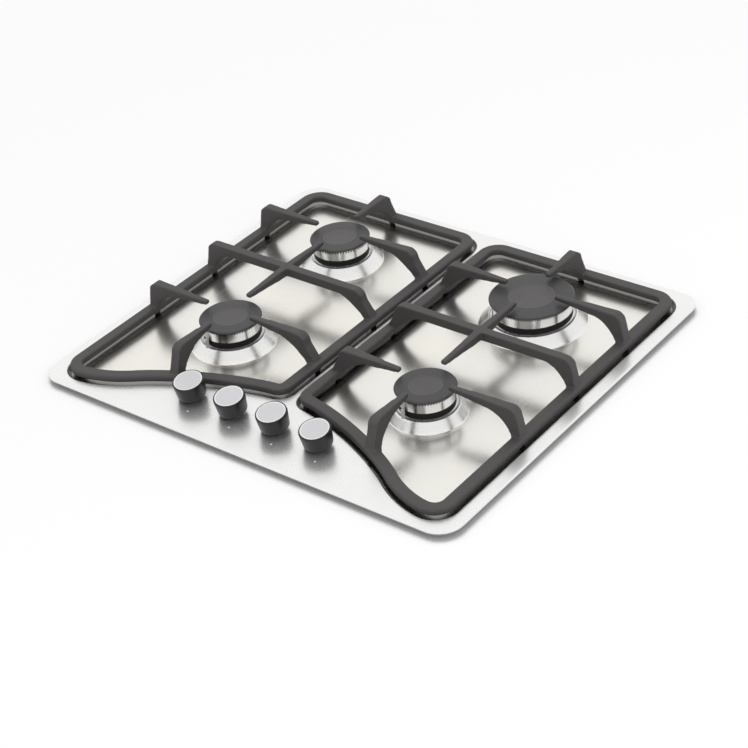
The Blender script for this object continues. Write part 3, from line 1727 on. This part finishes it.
@dataclass
class Studio:
    """Camera, lamps, world and the pale slab that the hob is let into."""

    eye: Vector = field(default_factory=lambda: Vector((1.2428, -1.3925, 1.2633)))
    forward: Vector = field(default_factory=lambda: Vector((-0.55156, 0.61709, -0.56124)))
    roll: float = math.radians(-7.04)
    lens: float = 93.82
    slab_top: float = 40 * MM
    slab_size: float = 12.0
    hole_margin: float = 3 * MM
    slab_color: tuple[float, float, float] = (0.95, 0.95, 0.95)
    slab_glow: float = 0.06
    sky_strength: float = 0.42
    sun_strength: float = 1.75
    sun_spread: float = math.radians(38)

    def camera(self) -> None:
        """Places the camera at the photograph's viewpoint."""
        data = bpy.data.cameras.new("camera")
        data.lens = self.lens
        data.sensor_width = 36
        data.clip_end = 50
        camera = bpy.data.objects.new("camera", data)
        bpy.context.scene.collection.objects.link(camera)
        aim = self.forward.to_track_quat("-Z", "Y").to_matrix().to_4x4()
        camera.matrix_world = Matrix.Translation(self.eye) @ aim @ Matrix.Rotation(self.roll, 4, "Z")
        bpy.context.scene.camera = camera

    def slab(self) -> None:
        """Makes the pale slab with a hole for the casing, seen only from above."""
        low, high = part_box("casing_tray")
        bm = bmesh.new()
        hole = Outline.rounded_rectangle(
            high[0] - low[0] + 2 * self.hole_margin, high[1] - low[1] + 2 * self.hole_margin, 23 * MM
        )
        outer = Outline.rounded_rectangle(self.slab_size, self.slab_size, 1.0)
        fill(bm, loop(bm, hole.points, self.slab_top), loop(bm, outer.points, self.slab_top))
        bmesh.ops.recalc_face_normals(bm, faces=bm.faces)
        if bm.faces[:][0].normal.z < 0:
            bmesh.ops.reverse_faces(bm, faces=bm.faces)
        mesh = bpy.data.meshes.new("slab")
        bm.to_mesh(mesh)
        bm.free()
        slab = bpy.data.objects.new("slab", mesh)
        bpy.context.scene.collection.objects.link(slab)
        mesh.materials.append(self.slab_material())

    def slab_material(self) -> bpy.types.Material:
        """A pale matt surface that shows white to the camera and clear from below."""
        material = bpy.data.materials.new("slab_pale")
        material.use_nodes = True
        shader = Shader(material.node_tree)
        material.node_tree.nodes.remove(material.node_tree.nodes["Principled BSDF"])
        matt = shader.node("ShaderNodeBsdfDiffuse", Color=(*self.slab_color, 1))
        rays = shader.node("ShaderNodeLightPath")
        seen = shader.math("MAXIMUM", rays.outputs["Is Camera Ray"], rays.outputs["Is Glossy Ray"])
        glow = shader.node("ShaderNodeEmission", Strength=shader.math("MULTIPLY", seen, self.slab_glow))
        lit = shader.node("ShaderNodeAddShader")
        shader.feed(lit.inputs[0], matt.outputs[0])
        shader.feed(lit.inputs[1], glow.outputs[0])
        clear = shader.node("ShaderNodeBsdfTransparent")
        under = shader.node("ShaderNodeNewGeometry").outputs["Backfacing"]
        both = shader.node("ShaderNodeMixShader")
        shader.feed(both.inputs[0], under)
        shader.feed(both.inputs[1], lit.outputs[0])
        shader.feed(both.inputs[2], clear.outputs[0])
        shader.feed(material.node_tree.nodes["Material Output"].inputs["Surface"], both.outputs[0])
        return material

    def world(self) -> None:
        """Makes a soft white surround, plain white to the camera and in reflections."""
        world = bpy.data.worlds.new("surround")
        world.use_nodes = True
        bpy.context.scene.world = world
        shader = Shader(world.node_tree)
        rays = shader.node("ShaderNodeLightPath")
        seen = shader.math("MAXIMUM", rays.outputs["Is Camera Ray"], rays.outputs["Is Glossy Ray"])
        seen = shader.math("MAXIMUM", seen, rays.outputs["Is Transmission Ray"])
        direct = shader.math("LESS_THAN", rays.outputs["Diffuse Depth"], 0.5)
        seen = shader.math("MULTIPLY", seen, direct)
        strength = shader.spread(seen, 0, 1, self.sky_strength, 1.0)
        background = world.node_tree.nodes["Background"]
        background.inputs["Color"].default_value = (1, 1, 1, 1)
        shader.feed(background.inputs["Strength"], strength)

    def lamp(self, name: str, place: tuple[float, float, float], size: float, power: float) -> None:
        """Adds one square lamp that faces the hob.

        Args:
            name: its name.
            place: where it hangs.
            size: its side.
            power: its power in watts.
        """
        data = bpy.data.lights.new(name, "AREA")
        data.size = size
        data.energy = power
        lamp = bpy.data.objects.new(name, data)
        bpy.context.scene.collection.objects.link(lamp)
        lamp.location = place
        lamp.rotation_euler = (Vector((0, 0, 0.05)) - Vector(place)).to_track_quat("-Z", "Y").to_euler()
        lamp.visible_glossy = False

    def sun(self, place: tuple[float, float, float]) -> None:
        """Adds the broad main light, even over the whole slab.

        Args:
            place: a point that it shines from, towards the hob.
        """
        data = bpy.data.lights.new("key", "SUN")
        data.angle = self.sun_spread
        data.energy = self.sun_strength
        sun = bpy.data.objects.new("key", data)
        bpy.context.scene.collection.objects.link(sun)
        sun.rotation_euler = (-Vector(place)).to_track_quat("-Z", "Y").to_euler()
        sun.visible_glossy = False

    def build(self) -> None:
        """Sets up the whole studio."""
        scene = bpy.context.scene
        scene.view_settings.view_transform = "Standard"
        self.camera()
        self.slab()
        self.world()
        self.sun((-0.7, 0.8, 2.4))
        self.lamp("fill", (1.8, -0.6, 1.6), 1.6, 6)


def main() -> None:
    """Builds the cooktop and its studio."""
    logging.basicConfig(level=logging.INFO, format="%(name)s: %(message)s")
    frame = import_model()
    Studio().build()
    finishes = Finishes()
    slots = {part["node"]: part["material_slot"] for part in frame["record"]["subparts"]}
    FrameNodes(frame["nodes"], slots).build(finishes)
    burners = burner_places()
    knobs = knob_places(frame["joints"])
    TopPlate(burners, knobs).build(finishes)
    PrintedMarks(knobs).build(finishes)
    PanSupport(burners).build(finishes)
    for place in burners:
        Burner(place).build(finishes)
    for place in knobs:
        Knob(place).build(finishes)


if __name__ == "__main__":
    main()
